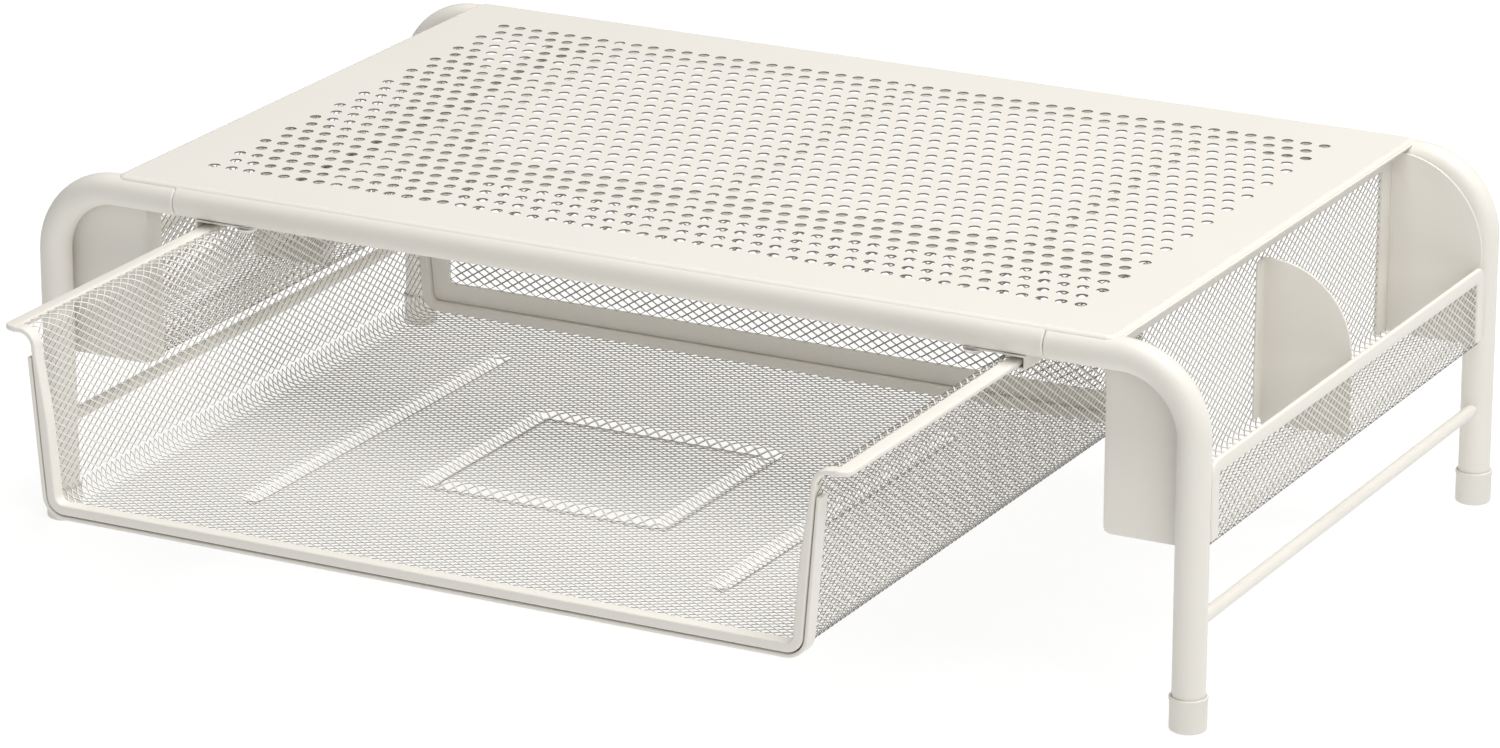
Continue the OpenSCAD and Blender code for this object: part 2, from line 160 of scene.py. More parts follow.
class DrawerSizes(bpy.types.PropertyGroup):
    half: size("Half width", "Outer half width at the floor, mm", 165.15)
    slope: angle("Slope", "Outward slope of the sides", 4.87)
    corner: size("Corner", "Outer radius of the bottom corners, mm", 9.5)
    flare: size("Flare", "Radius of the flare under the flanges, mm", 3.0)
    outer: size("Outer rim", "Thickness of the outer front rim, mm", 1.6)
    inner: size("Inner rim", "Thickness of the inner rims, mm", 4.0)
    sheet: size("Sheet", "Depth taken by the mesh, mm", 0.6)
    flange: size("Flange", "Thickness of the flanges, mm", 2.2)
    flange_corner: size("Flange corner", "Radius of the front corners of the flanges, mm", 5.0)
    rise: size("Mesh rise", "How far the flared mesh stands above the flange's underside, mm", 2.1)


class Finishes(bpy.types.PropertyGroup):
    coat: paint("Powder coat", "Colour of the powder coat", (0.80, 0.775, 0.72))
    # painted shade: this dark colour is laid on the walls of holes and strands and on shaded
    # strands, standing in for the shade that falls there
    cut: paint(
        "Cut edges", "Colour of the coat on the cut edges of the strands", (0.11, 0.103, 0.093)
    )
    cap: paint("Foot caps", "Colour of the plastic caps", (0.77, 0.75, 0.69))
    zinc: paint("Screws", "Colour of the plated screws", (0.86, 0.86, 0.84))
    grain: FloatProperty(
        name="Coat grain", description="Size of the coat's texture", default=0.0011, unit="LENGTH"
    )


class StageSizes(bpy.types.PropertyGroup):
    azimuth: angle("Azimuth", "Direction of the camera round the stand", 27.699)
    elevation: angle("Elevation", "Height of the camera above the horizon", 18.704)
    roll: angle("Roll", "Turn of the camera about its own axis", 0.077)
    lens: FloatProperty(name="Lens", description="Focal length in millimetres", default=157.52)
    place: FloatVectorProperty(
        name="Camera place",
        description="Place of the camera from the middle of the four legs",
        default=(1.1819, -2.2707, 0.9253),
        subtype="TRANSLATION",
        unit="LENGTH",
    )
    key: power("Key light", "Power of the overhead light", 76.0)
    fill: power("Fill light", "Power of the front light", 21.0)
    sky: FloatProperty(name="Sky", description="Strength of the surrounding light", default=0.17)
    floor: FloatProperty(name="Floor", description="Glow of the floor nearby", default=0.84)


# ---------- shader nodes ----------


class Wire:
    """An output socket of a material. Arithmetic on it adds Math nodes."""

    def __init__(self, tree, socket):
        self.tree = tree
        self.socket = socket

    def maths(self, operation, first, second):
        node = self.tree.nodes.new("ShaderNodeMath")
        node.operation = operation
        for place, value in zip(node.inputs, (first, second)):
            if isinstance(value, Wire):
                self.tree.links.new(value.socket, place)
            else:
                place.default_value = value
        return Wire(self.tree, node.outputs[0])

    def __add__(self, other):
        return self.maths("ADD", self, other)

    def __radd__(self, other):
        return self.maths("ADD", other, self)

    def __sub__(self, other):
        return self.maths("SUBTRACT", self, other)

    def __rsub__(self, other):
        return self.maths("SUBTRACT", other, self)

    def __mul__(self, other):
        return self.maths("MULTIPLY", self, other)

    def __rmul__(self, other):
        return self.maths("MULTIPLY", other, self)


class Finish:
    """A new material with a Principled shader, and the one way of adding nodes to it."""

    def __init__(self, name):
        self.material = bpy.data.materials.new(name)
        self.material.use_nodes = True
        self.tree = self.material.node_tree
        self.shader = self.tree.nodes["Principled BSDF"]

    def node(self, kind, settings=None, values=None, output=0):
        """Adds a node, sets it up, then fills its sockets with values or links."""
        made = self.tree.nodes.new(kind)
        for key, value in (settings or {}).items():
            setattr(made, key, value)
        self.fill(made, values or {})
        return Wire(self.tree, made.outputs[output])

    def fill(self, made, values):
        for key, value in values.items():
            if isinstance(value, Wire):
                self.tree.links.new(value.socket, made.inputs[key])
            else:
                made.inputs[key].default_value = value

    def set(self, **values):
        """Sets sockets of the Principled shader, with _ for a space."""
        self.fill(self.shader, {key.replace("_", " "): value for key, value in values.items()})
        return self.material

    def place(self):
        return self.node("ShaderNodeTexCoord", output="Object")

    def painted_shade_share(self):
        """The share of painted shade that each face carries: how far its colour goes towards the
        dark colour that stands in for shade.
        """
        return self.node("ShaderNodeAttribute", {"attribute_name": "cut"}, output="Fac")

    def noise(self, scale, detail=2.0, rough=0.5):
        return self.node(
            "ShaderNodeTexNoise",
            values={"Vector": self.place(), "Scale": scale, "Detail": detail, "Roughness": rough},
        )

    def mix(self, share, first, second):
        """The colour between two colours at a share from 0 to 1."""
        first, second = (
            tone if isinstance(tone, Wire) else (*tone, 1.0) for tone in (first, second)
        )
        return self.node(
            "ShaderNodeMix", {"data_type": "RGBA"}, {0: share, 6: first, 7: second}, output=2
        )

    def bump(self, height, strength, depth):
        return self.node(
            "ShaderNodeBump", values={"Height": height, "Strength": strength, "Distance": depth}
        )


def shade(colour, factor):
    return tuple(min(1.0, c * factor) for c in colour)


def powder_coat():
    """Satin coat: fine grain in the bump, faint cloudiness in tone and gloss, and painted shade on
    the walls of punched holes: a dark colour standing in for the shade inside them."""
    looks = bpy.context.scene.riser_finishes
    f = Finish("powder coat")
    cloud = f.noise(9.0, 3.0)
    grain = f.noise(1.0 / looks.grain, 3.0, 0.6)
    tone = f.mix(cloud, shade(looks.coat, 0.975), shade(looks.coat, 1.02))
    tone = f.mix(grain * 0.12, tone, shade(looks.coat, 0.9))
    return f.set(
        # painted shade: the hole walls go most of the way to the dark colour, standing in for the
        # shade inside the holes
        Base_Color=f.mix(f.painted_shade_share() * (0.7 + grain * 0.2), tone, looks.cut),
        Roughness=0.36 + cloud * 0.06 + grain * 0.08,
        Normal=f.bump(grain, 0.12, 0.00012),
        Specular_IOR_Level=0.36,
    )


def mesh_coat():
    """The same coat on strands, with painted shade: each face goes towards a dark colour by its
    share, most on the cut walls, standing in for the shade that falls there.
    """
    looks = bpy.context.scene.riser_finishes
    f = Finish("mesh coat")
    grain = f.noise(1.0 / looks.grain, 2.0)
    return f.set(
        # painted shade: each face goes towards the dark colour by its share
        Base_Color=f.mix(f.painted_shade_share() * (0.85 + grain * 0.3), looks.coat, looks.cut),
        Roughness=0.42 + grain * 0.12,
        Normal=f.bump(grain, 0.15, 0.0001),
        Specular_IOR_Level=0.35,
    )


def cap_plastic():
    """Moulded plastic: soft sheen, faint flow marks and a fine matt grain."""
    looks = bpy.context.scene.riser_finishes
    f = Finish("cap plastic")
    flow = f.noise(60.0, 4.0)
    grain = f.noise(2600.0, 1.0)
    return f.set(
        Base_Color=f.mix(flow, shade(looks.cap, 0.96), shade(looks.cap, 1.03)),
        Roughness=0.44 + flow * 0.1,
        Normal=f.bump(grain, 0.1, 0.00008),
        Specular_IOR_Level=0.5,
    )


def zinc_plate():
    """Plated steel: metallic, with blotches of gloss."""
    looks = bpy.context.scene.riser_finishes
    f = Finish("zinc plate")
    blotch = f.noise(700.0, 3.0)
    return f.set(
        Base_Color=f.mix(blotch, shade(looks.zinc, 0.85), shade(looks.zinc, 1.1)),
        Metallic=1.0,
        Roughness=0.28 + blotch * 0.2,
        Normal=f.bump(blotch, 0.1, 0.00005),
    )


MAKERS = {
    "powder_coat": powder_coat,
    "mesh_coat": mesh_coat,
    "foot_plastic": cap_plastic,
    "screw_steel": zinc_plate,
}
MADE = {}


def finish_for(slot):
    if slot not in MADE:
        MADE[slot] = MAKERS[slot]()
    return MADE[slot]


# ---------- surfaces ----------


def arc(cx, cy, radius, start, end, steps):
    """Points at radius from (cx, cy) for evenly spaced angles, in degrees."""
    t = np.radians(np.linspace(start, end, steps + 1))
    return np.stack([cx + radius * np.cos(t), cy + radius * np.sin(t)], 1)


def circle(radius, steps):
    """Points at radius from the origin, once round."""
    return arc(0, 0, radius, 0, 360, steps)[:-1]


def rounded(outline, radius, steps=3):
    """A closed outline whose corners P are cut back by radius to A and B and bridged
    by the parabola (1 - t)^2 A + 2 t (1 - t) P + t^2 B."""
    p = np.asarray(outline, float)
    back = np.roll(p, 1, 0) - p
    on = np.roll(p, -1, 0) - p
    lb = np.linalg.norm(back, axis=1)
    lo = np.linalg.norm(on, axis=1)
    r = np.minimum(radius, 0.45 * np.minimum(lb, lo))
    a = p + back * (r / lb)[:, None]
    b = p + on * (r / lo)[:, None]
    t = np.linspace(0, 1, steps + 1)[None, :, None]
    points = (1 - t) ** 2 * a[:, None] + 2 * t * (1 - t) * p[:, None] + t**2 * b[:, None]
    return points.reshape(-1, 2)


def block(x0, y0, x1, y1):
    """Corners of a rectangle, anticlockwise."""
    return np.array([[x0, y0], [x1, y0], [x1, y1], [x0, y1]], float)


def carried(path, side, up, profile, stretch=1.0):
    """Grid of points path[i] + u * stretch[i] * side[i] + v * up[i] for each profile
    point (u, v)."""
    u = profile[None, :, :1] * np.reshape(stretch, (-1, 1, 1))
    return path[:, None] + u * side[:, None] + profile[None, :, 1:] * up[:, None]


def skin(grid, ring=False, capped=True):
    """Vertices and quads of a grid whose columns close on themselves. The rows close
    too in a ring, and otherwise a face closes each end."""
    n, m = grid.shape[:2]
    i = np.arange(n if ring else n - 1)[:, None]
    j = np.arange(m)[None]
    k = (j + 1) % m
    below = (i + 1) % n
    faces = np.stack([i * m + j, i * m + k, below * m + k, below * m + j], -1)
    faces = faces.reshape(-1, 4).tolist()
    if capped and not ring:
        faces.append(list(range(m))[::-1])
        faces.append(list(range((n - 1) * m, n * m)))
    return grid.reshape(-1, 3), faces


def straight(start, end, side, up, profile):
    """A profile carried along the line from start to end."""
    path = np.array([start, end], float)
    return skin(carried(path, np.array([side, side], float), np.array([up, up], float), profile))


def turned(profile, centre, steps=64):
    """A closed profile (radius, height) turned about the upright line through centre.
    Profile points on the line stay single rows and are merged later."""
    t = np.linspace(0, 2 * np.pi, steps, endpoint=False)
    side = np.stack([np.cos(t), np.sin(t), 0 * t], 1)
    up = np.tile([0.0, 0.0, 1.0], (steps, 1))
    path = np.tile(np.asarray(centre, float), (steps, 1))
    return skin(carried(path, side, up, np.asarray(profile, float)), ring=True)


def plate(outline, thick, soft, origin, right, up, out):
    """A flat plate: the outline is inset by soft (1 - sin a) while it rises by
    soft (1 - cos a) for a from 0 to 90 degrees, and the same again at the far face."""
    p = np.asarray(outline, float)
    on = np.roll(p, -1, 0) - np.roll(p, 1, 0)
    inward = np.stack([-on[:, 1], on[:, 0]], 1)
    inward /= np.linalg.norm(inward, axis=1)[:, None]
    if np.sum(p[:, 0] * np.roll(p[:, 1], -1) - p[:, 1] * np.roll(p[:, 0], -1)) < 0:
        inward = -inward
    a = np.radians(np.linspace(0, 90, 4))
    inset = soft * (1 - np.sin(a))
    rise = soft * (1 - np.cos(a))
    inset = np.concatenate([inset, inset[::-1]])
    rise = np.concatenate([rise, thick - rise[::-1]])
    flat = p[None] + inset[:, None, None] * inward[None]
    origin, right, up, out = (np.asarray(v, float) for v in (origin, right, up, out))
    grid = origin + flat[..., :1] * right + flat[..., 1:] * up + rise[:, None, None] * out
    return skin(grid)


def joined(*shapes):
    """Several (vertices, faces) pairs as one."""
    vertices, faces, count = [], [], 0
    for v, f in shapes:
        vertices.append(np.asarray(v, float))
        faces += [[count + k for k in face] for face in f]
        count += len(v)
    return np.concatenate(vertices), faces


def mirrored(shape):
    """A shape reflected left to right."""
    v, f = shape
    return v * np.array([-1.0, 1.0, 1.0]), [face[::-1] for face in f]


def add_piece(name, shape, body, nodes, slot, smooth=35.0, tidy=True, cut=None):
    """Makes the object, in metres in the frame, closes and turns out its faces, stores any share
    of painted shade on its faces, gives it its finish, hangs it under its body and hides the
    frame's nodes that it stands for."""
    vertices, faces = shape
    mesh = bpy.data.meshes.new(name)
    mesh.from_pydata(((vertices + [0, MIDDLE_Y, 0]) * MM).tolist(), [], faces)
    if tidy:
        work = bmesh.new()
        work.from_mesh(mesh)
        bmesh.ops.remove_doubles(work, verts=work.verts, dist=1e-6)
        bmesh.ops.recalc_face_normals(work, faces=work.faces)
        work.to_mesh(mesh)
        work.free()
    # the share of painted shade on each face, which the coat materials read
    if cut is not None:
        mesh.attributes.new("cut", "FLOAT", "FACE").data.foreach_set("value", cut)
    if smooth:
        mesh.shade_smooth()
        mesh.set_sharp_from_angle(angle=math.radians(smooth))
    made = bpy.data.objects.new(name, mesh)
    bpy.context.scene.collection.objects.link(made)
    mesh.materials.append(finish_for(slot))
    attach(made, body)
    if nodes:
        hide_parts(*nodes)
    return made


# ---------- the top ----------


def rounded_loop(half_x, half_y, corner, steps):
    """A rectangle about the origin with round corners, anticlockwise."""
    x, y = half_x - corner, half_y - corner
    turns = ((x, y, 0), (-x, y, 90), (-x, -y, 180), (x, -y, 270))
    return np.concatenate([arc(cx, cy, corner, a, a + 90, steps) for cx, cy, a in turns])


def hole_field(top, z0, z1):
    """Each hole sits in a cell one pitch wide and one row deep, whose border has eight
    points, so that staggered rows share their corners. Each eighth of a cell is one
    face between the border and an eighth of the hole's edge. Returns vertices, faces and
    the number of faces that aren't walls."""
    steps = 24
    rows = 2 * top.rows - 1
    row = np.repeat(np.arange(rows), top.columns)
    col = np.tile(np.arange(top.columns), rows)
    keep = (row % 2 == 0) | (col < top.columns - 1)
    row, col = row[keep], col[keep]
    cx = (col - (top.columns - 1) / 2 + 0.5 * (row % 2)) * top.pitch
    cy = (row - (rows - 1) / 2) * top.row_pitch
    border = np.array(
        [[1, 0], [1, 1], [0, 1], [-1, 1], [-1, 0], [-1, -1], [0, -1], [1, -1]], float
    ) * [top.pitch / 2, top.row_pitch / 2]
    cell = np.concatenate([circle(top.hole / 2, steps), border])
    n, m = len(cx), len(cell)
    flat = (np.stack([cx, cy], 1)[:, None] + cell[None]).reshape(-1, 2)
    vertices = np.concatenate([np.c_[flat, np.full(n * m, z)] for z in (z1, z0)])
    part = steps // 8
    k = np.arange(8)
    hole_edge = [(k * part + part - q) % steps for q in range(part + 1)]
    eighth = np.stack([steps + k, steps + (k + 1) % 8, *hole_edge], 1)
    base = (np.arange(n) * m)[:, None, None]
    upper = (base + eighth[None]).reshape(-1, part + 3)
    lower = upper[:, ::-1] + n * m
    a = np.arange(steps)
    b = (a + 1) % steps
    walls = (base + np.stack([a, b, b + n * m, a + n * m], 1)[None]).reshape(-1, 4)
    return vertices, upper.tolist() + lower.tolist() + walls.tolist(), 2 * len(upper)


def field_margins(top, half_x, half_y):
    """Outlines of the four plain strips round the holes. The two side strips follow the
    stepped ends of the staggered rows and the rounded corners of the sheet."""
    rows = 2 * top.rows - 1
    fx, fy = top.columns / 2 * top.pitch, rows / 2 * top.row_pitch
    row = np.arange(rows)
    step_x = np.where(row % 2, top.pitch / 2, 0) - fx
    step_y = (row - rows / 2) * top.row_pitch
    ends = np.stack([np.c_[step_x, step_y], np.c_[step_x, step_y + top.row_pitch]], 1)
    c = top.corner
    side = np.concatenate(
        [
            [[-fx, -half_y]],
            arc(-half_x + c, -half_y + c, c, 270, 180, 6),
            arc(-half_x + c, half_y - c, c, 180, 90, 6),
            [[-fx, half_y]],
            ends.reshape(-1, 2)[::-1],
        ]
    )
    x = np.arange(2 * top.columns + 1)[::-1] * top.pitch / 2 - fx
    lid = np.concatenate([np.c_[x, np.full(len(x), fy)], [[-fx, half_y], [fx, half_y]]])
    return side, side * [-1, 1], lid, lid * [1, -1]


def perforated_sheet(top, z0, z1, half_x, half_y):
    """The field of holes, the plain strips round it and the wall of the outer edge.
    Returns the shape and the share of painted shade on each face, 1 on the hole walls."""
    vertices, faces, plain = hole_field(top, z0, z1)
    punched = len(faces)
    shapes = [(vertices, faces)]
    for outline in field_margins(top, half_x, half_y):
        m = len(outline)
        both = np.concatenate([np.c_[outline, np.full(m, z)] for z in (z1, z0)])
        x, y = outline.T
        face = list(range(m)) if x @ np.roll(y, -1) > y @ np.roll(x, -1) else list(range(m))[::-1]
        shapes.append((both, [face, [k + m for k in face[::-1]]]))
    loop = rounded_loop(half_x, half_y, top.corner, 6)
    band = np.stack([np.c_[loop, np.full(len(loop), z)] for z in (z0, z1)])
    shapes.append(skin(band, capped=False))
    vertices, faces = joined(*shapes)
    cut = np.zeros(len(faces))
    # painted shade on the hole walls
    cut[plain:punched] = 1.0
    return (vertices, faces), cut


def sheet_edge(half_x, half_y, corner, z1, drop):
    """The turned-down edge of the sheet: a quarter of an ellipse, closed below, carried
    round the outline level with the top face, with a narrow hem under it and a lip along
    each side."""
    loop = rounded_loop(half_x, half_y, corner, 8)
    on = np.roll(loop, -1, 0) - np.roll(loop, 1, 0)
    on /= np.linalg.norm(on, axis=1)[:, None]
    path = np.c_[loop, np.full(len(loop), z1)]
    out = np.c_[on[:, 1], -on[:, 0], np.zeros(len(loop))]
    up = np.tile([0.0, 0.0, 1.0], (len(loop), 1))
    width, height, shift = 2.6, 2.0, 1.7
    t = np.radians(np.linspace(0, 92, 15))
    crown = np.stack([width * np.cos(t) - shift, height * (np.sin(t) - 1)], 1)
    under = [[-width, -0.15], [-width, -0.6], [-0.6, -drop], [0.8, -drop]]
    bead = np.concatenate([crown, under])
    hem = rounded(block(-0.6, -drop - 1.0, 0.45, -drop + 0.1), 0.15)
    lip = rounded(block(-0.4, -1.75, 1.5, -1.35), 0.12)
    end = half_y - corner
    sides = [
        straight([sx * half_x, -end, z1], [sx * half_x, end, z1], [sx, 0, 0], [0, 0, 1], lip)
        for sx in (-1, 1)
    ]
    rings = [skin(carried(path, out, up, section), ring=True) for section in (bead, hem)]
    return joined(*rings, *sides)


def rolled_rail(length, y, z, radius, wall, groove):
    """A tube along X: the closed profile of its wall turned about the line (y, z), with
    a small chamfer at each end that makes half of the seam's groove."""
    half = length / 2 - 0.2
    inner = radius - wall
    profile = np.array(
        [[-half, radius - groove], [-half + groove, radius], [half - groove, radius],
         [half, radius - groove], [half, inner], [-half, inner]]
    )
    t = np.linspace(0, 2 * np.pi, 96, endpoint=False)
    out = np.stack([0 * t, np.cos(t), np.sin(t)], 1)
    along = np.tile([1.0, 0.0, 0.0], (len(t), 1))
    path = np.tile([0.0, y, z], (len(t), 1))
    return skin(carried(path, along, out, profile), ring=True)


class RISER_OT_top(bpy.types.Operator):
    """Makes the perforated top with its rolled front and rear rails"""

    bl_idname = "riser.top"
    bl_label = "Perforated top"

    def execute(self, context):
        top = context.scene.riser_top
        low, high = node_box("top_panel")
        half_x = high[0]
        half_y = node_box("slide_right")[1][1] - MIDDLE_Y + 0.2
        rail_z = low[2] + LEG_R
        sheet, cut = perforated_sheet(
            top, TOP_Z - top.sheet, TOP_Z, half_x - top.margin, half_y - top.margin + 0.5
        )
        add_piece("top_sheet", sheet, "stand", ["top_panel"], "powder_coat", smooth=20.0, cut=cut)
        edge = sheet_edge(half_x - 0.7, half_y - 0.2, top.corner, TOP_Z, top.drop)
        add_piece("top_sheet_edge", edge, "stand", [], "powder_coat", smooth=60.0)
        groove = context.scene.riser_legs.groove
        rails = joined(
            *(rolled_rail(top.rail, y, rail_z, LEG_R, top.wall, groove) for y in (-LEG_Y, LEG_Y))
        )
        add_piece("top_rails", rails, "stand", [], "powder_coat")
        for node in ("stiffener_left", "stiffener_center", "stiffener_right"):
            low, high = node_box(node)
            section = rounded(block(low[0], low[2], high[0], high[2]), 0.8)
            bar = straight([0, low[1] - MIDDLE_Y, 0], [0, high[1] - MIDDLE_Y, 0],
                           [1, 0, 0], [0, 0, 1], section)
            add_piece(node + "_bar", bar, "stand", [node], "powder_coat")
        return {"FINISHED"}


# ---------- legs, feet and rods ----------


def bent_leg(legs, rail_half, tube_z, foot_z):
    """A circle carried up the leg, round a quarter bend and along to the seam, where its
    radius drops by the groove and then to the spigot's."""
    bend, groove, thin = legs.bend, legs.groove, LEG_R - legs.step
    a = np.radians(np.linspace(0, 90, 33))
    curve = np.stack([LEG_X - bend * (1 - np.cos(a)), 0 * a, tube_z - bend * (1 - np.sin(a))], 1)
    seam = [[rail_half + groove, 0, tube_z], [rail_half, 0, tube_z], [rail_half, 0, tube_z],
            [rail_half - legs.spigot, 0, tube_z]]
    path = np.concatenate([[[LEG_X, 0, foot_z]], curve, seam])
    ahead = np.concatenate(
        [[[0, 0, 1]], np.stack([-np.sin(a), 0 * a, np.cos(a)], 1), np.tile([-1, 0, 0], (4, 1))]
    )
    radii = np.array([LEG_R] * (len(a) + 2) + [LEG_R - groove, thin, thin])
    side = np.tile([0.0, 1.0, 0.0], (len(path), 1))
    up = np.cross(ahead, side)
    ring = circle(1.0, 64)
    grid = path[:, None] + radii[:, None, None] * (
        ring[None, :, :1] * side[:, None] + ring[None, :, 1:] * up[:, None]
    )
    return skin(grid)


def foot_profile(height, radius, lip):
    """Half section of a foot cap: rounded sole edge, plain wall, a lip at the mouth."""
    inner = LEG_R + 0.05
    wall = radius - lip
    return np.concatenate(
        [
            [[0.01, 0.0]],
            arc(wall - 1.2, 1.2, 1.2, -90, 0, 6),
            [[wall, height - 2.2], [radius - 0.05, height - 1.5]],
            arc(radius - 0.6, height - 0.6, 0.6, -20, 120, 10),
            [[inner, height - 0.7], [inner, 2.5], [0.01, 2.5]],
        ]
    )


class RISER_OT_legs(bpy.types.Operator):
    """Makes the four bent tube legs, their foot caps and the two cross rods"""

    bl_idname = "riser.legs"
    bl_label = "Legs, feet and rods"

    def execute(self, context):
        legs = context.scene.riser_legs
        rail_half = context.scene.riser_top.rail / 2
        tube_z = node_box("leg_front_right")[1][2] - LEG_R
        foot_z = node_box("leg_front_right")[0][2]
        foot_low, foot_high = node_box("foot_front_right")
        height = foot_high[2]
        radius = (foot_high[0] - foot_low[0]) / 2
        leg = bent_leg(legs, rail_half, tube_z, foot_z)
        foot = turned(foot_profile(height, radius, legs.foot_lip), [LEG_X, 0, 0])
        kinds = (
            ("leg", "leg_tube_", leg, "powder_coat"),
            ("foot", "foot_cap_", foot, "foot_plastic"),
        )
        for depth, sy in (("front", -1), ("rear", 1)):
            for hand, sx in (("left", -1), ("right", 1)):
                spot = f"{depth}_{hand}"
                shift = np.array([0, sy * LEG_Y, 0])
                for kind, head, shape, slot in kinds:
                    v, f = shape if sx > 0 else mirrored(shape)
                    add_piece(head + spot, (v + shift, f), "stand", [f"{kind}_{spot}"], slot)
        rod_low, rod_high = node_box("cross_rod_right")
        rod_r = (rod_high[2] - rod_low[2]) / 2
        rod_z = (rod_high[2] + rod_low[2]) / 2
        end = LEG_Y - LEG_R + 1.2
        for hand, sx in (("left", -1), ("right", 1)):
            bar = straight([sx * LEG_X, -end, rod_z], [sx * LEG_X, end, rod_z],
                           [1, 0, 0], [0, 0, 1], circle(rod_r, 32))
            add_piece("rod_" + hand, bar, "stand", ["cross_rod_" + hand], "powder_coat")
        return {"FINISHED"}


# ---------- expanded metal ----------


class Line:
    """A polyline in the XZ plane, read by its length from the start."""

    def __init__(self, points):
        p = np.asarray(points, float)
        p = p[np.r_[True, np.linalg.norm(np.diff(p, axis=0), axis=1) > 1e-6]]
        step = np.linalg.norm(np.diff(p, axis=0), axis=1)
        self.points = p
        self.at = np.concatenate([[0.0], np.cumsum(step)])
        self.length = self.at[-1]
        ahead = np.gradient(p, self.at, axis=0)
        ahead /= np.linalg.norm(ahead, axis=1)[:, None]
        self.left = np.stack([-ahead[:, 1], ahead[:, 0]], 1)

    def read(self, s):
        """Point and left-hand normal at length s."""
        point = np.stack([np.interp(s, self.at, self.points[:, k]) for k in (0, 1)], -1)
        left = np.stack([np.interp(s, self.at, self.left[:, k]) for k in (0, 1)], -1)
        left /= np.linalg.norm(left, axis=-1)[..., None]
        return point, left


def spread(length, pitch):
    """Half-pitch indices whose openings fill a length, and the half pitch that fills it
    exactly."""
    count = max(1, round(length / pitch))
    return np.arange(1 - count, count), length / (2 * count)


def diamonds(columns, rows, la, sb, strand, thick):
    """Openings stand where the indices p + q of the half-pitch grid are odd, and the
    strands cross where they are even. Each opening gives four faces above, four below
    and four walls. Returns (a, b, height) vertices, quads and which quads are walls."""
    pp, qq = (g.ravel() for g in np.meshgrid(columns, rows, indexing="ij"))
    odd = (pp + qq) % 2 == 1
    pp, qq = pp[odd], qq[odd]
    n = len(pp)
    steps = np.array([[-1, 0], [0, -1], [1, 0], [0, 1]])
    cross_p = pp[:, None] + steps[None, :, 0]
    cross_q = qq[:, None] + steps[None, :, 1]
    width = cross_q.max() - cross_q.min() + 2
    keys = (cross_p - cross_p.min()) * width + cross_q - cross_q.min()
    unique, back = np.unique(keys.ravel(), return_inverse=True)
    back = back.reshape(n, 4)
    first = np.zeros(len(unique), int)
    first[back.ravel()] = np.arange(4 * n)
    bonds = np.stack([cross_p.ravel()[first] * la, cross_q.ravel()[first] * sb], 1)
    angle = math.atan2(sb, la)
    in_a = la - strand / 2 / math.sin(angle)
    in_b = sb - strand / 2 / math.cos(angle)
    inner = np.stack([pp * la, qq * sb], 1)[:, None] + steps[None] * [in_a, in_b]
    flat = np.concatenate([bonds, inner.reshape(-1, 2)])
    total = len(flat)
    h = thick / 2
    vertices = np.concatenate([np.c_[flat, np.full(total, h)], np.c_[flat, np.full(total, -h)]])
    inside = len(bonds) + np.arange(4 * n).reshape(n, 4)
    nxt = [1, 2, 3, 0]
    above = np.stack([back, back[:, nxt], inside[:, nxt], inside], -1).reshape(-1, 4)
    below = above[:, ::-1] + total
    wall = np.stack([inside, inside[:, nxt], inside[:, nxt] + total, inside + total], -1)
    wall = wall.reshape(-1, 4)
    faces = np.concatenate([above, below, wall])
    # painted shade: the walls carry the full share of the dark colour
    cut = np.zeros(len(faces))
    cut[-len(wall):] = 1.0
    return vertices, faces, cut


def leaning(place, faces, cut, axis, low, high):
    """Share of painted shade on each face, standing in for the shade on one family of strands
    and in their walls: low on the strands that fall along the axis and high on those that
    rise, and most of the rest on their cut walls."""
    edge = place[faces[:, 1]] - place[faces[:, 0]]
    rising = edge[:, axis] * edge[:, 2] > 0
    return np.where(cut > 0, np.where(rising, 1.0, 0.4), np.where(rising, high, low))


def bent_mesh(mesh, line, span, depth, upright, parts=1, dip=None):
    """The diamonds laid on a section line between two lengths of it, and straight along Y
    between two depths. The long way of the diamonds runs along Y in an upright wall and
    across it in a floor; dip(x, y) is taken off the height. Returns a list of shapes, each
    with the share of painted shade on its faces."""
    ways = (mesh.short_way, mesh.long_way)
    along, across = ways if upright else ways[::-1]
    columns, la = spread(span[1] - span[0], along)
    rows, sb = spread(depth[1] - depth[0], across)
    made = []
    for share in np.array_split(columns, parts):
        v, faces, cut = diamonds(share, rows, la, sb, mesh.strand, mesh.thick)
        point, left = line.read(v[:, 0] + (span[0] + span[1]) / 2)
        y = v[:, 1] + (depth[0] + depth[1]) / 2
        place = np.stack([point[:, 0], y, point[:, 1]], 1)
        place += np.stack([left[:, 0], 0 * y, left[:, 1]], 1) * v[:, 2:]
        if upright:
            # painted shade on one family of strands in the upright walls, and on their cut walls
            cut = leaning(place, faces, cut, 1, 0.0, 0.22)
        if dip is not None:
            place[:, 2] -= dip(place[:, 0], y)
        made.append(((place, faces.tolist()), cut))
    return made


# ---------- side pockets ----------


def across_plate(outline, thick, soft, x):
    """A plate whose outline is in (y, z), from x outwards."""
    return plate(outline, thick, soft, [x, 0, 0], [0, 1, 0], [0, 0, 1], [1, 0, 0])


def facing_plate(outline, thick, soft, y):
    """A plate whose outline is in (x, z), from y backwards."""
    return plate(outline, thick, soft, [0, y, 0], [1, 0, 0], [0, 0, 1], [0, 1, 0])


